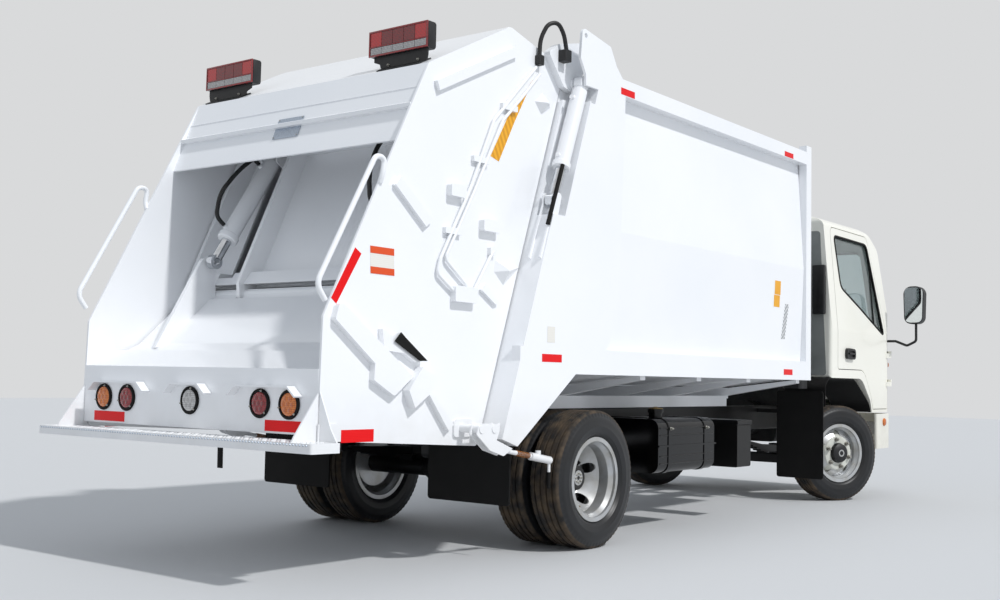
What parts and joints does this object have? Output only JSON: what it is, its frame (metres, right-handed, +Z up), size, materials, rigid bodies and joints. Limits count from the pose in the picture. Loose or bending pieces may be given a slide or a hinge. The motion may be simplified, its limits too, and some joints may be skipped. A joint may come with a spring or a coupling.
{
  "type": "rear-loading garbage truck",
  "caption": "Light two-axle garbage truck with a tilting cab, a hollow load body and a top-hinged tailgate whose hopper holds a sliding panel and a packing blade.",
  "frame": {"origin": "on the ground at the middle of the truck's length and width", "axes": "+X forward, +Y to the driver's left, +Z up"},
  "size_m": [7.15, 2.5356, 2.9101],
  "materials": {
    "white_paint": "gloss",
    "cream_paint": "satin",
    "black_paint": "satin",
    "cast_iron": "rough",
    "chromed_rod": "polished",
    "silver_paint": "satin",
    "tyre_rubber": "matte",
    "black_rubber": "matte",
    "black_plastic": "matte",
    "glass": "gloss",
    "seat_fabric": "matte",
    "worn_steel": "rough",
    "lamp_lens": "gloss"
  },
  "bodies": {
    "chassis": {"chassis_frame": "black_paint", "body_subframe": "cream_paint", "front_axle": "black_paint", "rear_axle": "black_paint", "leaf_springs": "black_paint", "engine_block": "cast_iron", "drive_shaft": "black_paint", "body_shell": "white_paint", "fuel_tank": "black_paint", "battery_box": "black_plastic", "rear_mudflaps": "black_rubber", "front_mudflaps": "black_rubber", "air_intake": "black_plastic", "front_bumper": "white_paint", "headlamps": "lamp_lens", "gate_clamp_screws": "worn_steel"},
    "ejector": {"ejector_panel": "white_paint"},
    "tailgate": {"tailgate_shell": "white_paint", "side_gussets": "white_paint", "rear_step": "white_paint", "grab_handles": "white_paint", "round_lamps": "lamp_lens", "tail_lamps": "lamp_lens", "gate_clamps": "worn_steel", "hydraulic_pipes": "white_paint", "lift_hoses": "black_rubber"},
    "lift_barrels": {"lift_cylinder_barrels": "white_paint"},
    "lift_rods": {"lift_cylinder_rods": "chromed_rod"},
    "slide": {"slide_panel": "white_paint", "blade_hoses": "black_rubber"},
    "blade": {"packing_blade": "white_paint"},
    "blade_barrels": {"blade_cylinder_barrels": "white_paint"},
    "blade_rods": {"blade_cylinder_rods": "chromed_rod"},
    "cab": {"cab_shell": "white_paint", "windscreen": "glass", "rear_window": "glass", "seats": "seat_fabric", "dashboard": "black_plastic", "steering_wheel": "black_plastic", "mirror_left": "black_plastic", "mirror_right": "black_plastic", "wheel_arch_liners": "black_plastic"},
    "door_left": {"cab_door_left": "white_paint", "door_glass_left": "glass", "door_handle_left": "black_plastic"},
    "door_right": {"cab_door_right": "white_paint", "door_glass_right": "glass", "door_handle_right": "black_plastic"},
    "steer_left": {"knuckle_left": "black_paint"},
    "steer_right": {"knuckle_right": "black_paint"},
    "wheel_front_left": {"front_rim_left": "silver_paint", "front_tyre_left": "tyre_rubber"},
    "wheel_front_right": {"front_rim_right": "silver_paint", "front_tyre_right": "tyre_rubber"},
    "wheels_rear_left": {"rear_rims_left": "silver_paint", "rear_tyres_left": "tyre_rubber"},
    "wheels_rear_right": {"rear_rims_right": "silver_paint", "rear_tyres_right": "tyre_rubber"}
  },
  "joints": [
    {"name": "tailgate_hinge", "type": "hinge", "parent": "chassis", "child": "tailgate", "pos_m": [-1.44, 0, 2.8], "axis": [0, 1, 0], "range_deg": [0, 80]},
    {"name": "lift_barrel_pivot", "type": "hinge", "parent": "tailgate", "child": "lift_barrels", "pos_m": [-1.545, 0, 2.6], "axis": [0, 1, 0], "range_deg": [-92.16, 0.5]},
    {"name": "lift_rod_slide", "type": "slide", "parent": "lift_barrels", "child": "lift_rods", "axis": [-0.3541, 0, -0.9352], "range_m": [-0.002, 0.2345]},
    {"name": "slide_panel_slide", "type": "slide", "parent": "tailgate", "child": "slide", "axis": [0.4472, 0, 0.8944], "range_m": [0, 0.4]},
    {"name": "blade_hinge", "type": "hinge", "parent": "slide", "child": "blade", "pos_m": [-2.74, 0, 1.36], "axis": [0, -1, 0], "range_deg": [0, 82]},
    {"name": "blade_barrel_pivot", "type": "hinge", "parent": "slide", "child": "blade_barrels", "pos_m": [-2.4, 0, 2.2], "axis": [0, -1, 0], "range_deg": [-0.5, 2.19]},
    {"name": "blade_rod_slide", "type": "slide", "parent": "blade_barrels", "child": "blade_rods", "axis": [-0.5395, 0, -0.842], "range_m": [-0.002, 0.2658]},
    {"name": "ejector_slide", "type": "slide", "parent": "chassis", "child": "ejector", "axis": [-1, 0, 0], "range_m": [0, 2.05]},
    {"name": "cab_tilt", "type": "hinge", "parent": "chassis", "child": "cab", "pos_m": [3.48, 0, 0.727], "axis": [0, 1, 0], "range_deg": [0, 40]},
    {"name": "door_left_hinge", "type": "hinge", "parent": "cab", "child": "door_left", "pos_m": [3.432, 0.966, 1.2], "axis": [0, 0, -1], "range_deg": [0, 65]},
    {"name": "door_right_hinge", "type": "hinge", "parent": "cab", "child": "door_right", "pos_m": [3.432, -0.966, 1.2], "axis": [0, 0, 1], "range_deg": [0, 65]},
    {"name": "steer_right_hinge", "type": "hinge", "parent": "chassis", "child": "steer_right", "pos_m": [2.42, -0.8, 0.383], "axis": [0, 0, 1], "range_deg": [-11.5, 57]},
    {"name": "steer_left_hinge", "type": "hinge", "parent": "chassis", "child": "steer_left", "pos_m": [2.42, 0.8, 0.383], "axis": [0, 0, 1], "range_deg": [-10.04, 48.6]},
    {"name": "front_wheel_left_spin", "type": "hinge", "parent": "steer_left", "child": "wheel_front_left", "pos_m": [2.44418, 0.85926, 0.383], "axis": [0.3778, 0.9259, 0], "continuous": true},
    {"name": "front_wheel_right_spin", "type": "hinge", "parent": "steer_right", "child": "wheel_front_right", "pos_m": [2.39174, -0.85742, 0.383], "axis": [0.4415, 0.8973, 0], "continuous": true},
    {"name": "rear_wheels_left_spin", "type": "hinge", "parent": "chassis", "child": "wheels_rear_left", "pos_m": [-1.41, 0.8165, 0.383], "axis": [0, 1, 0], "continuous": true},
    {"name": "rear_wheels_right_spin", "type": "hinge", "parent": "chassis", "child": "wheels_rear_right", "pos_m": [-1.41, -0.8165, 0.383], "axis": [0, 1, 0], "continuous": true}
  ],
  "couplings": [
    {"joint": "lift_barrel_pivot", "follows": "tailgate_hinge", "ratio": -1.1457},
    {"joint": "lift_rod_slide", "follows": "tailgate_hinge", "m_per_rad": 0.16651},
    {"joint": "blade_barrel_pivot", "follows": "blade_hinge", "ratio": 0.02065},
    {"joint": "blade_rod_slide", "follows": "blade_hinge", "m_per_rad": 0.18434},
    {"joint": "steer_left_hinge", "follows": "steer_right_hinge", "ratio": 0.8473}
  ]
}
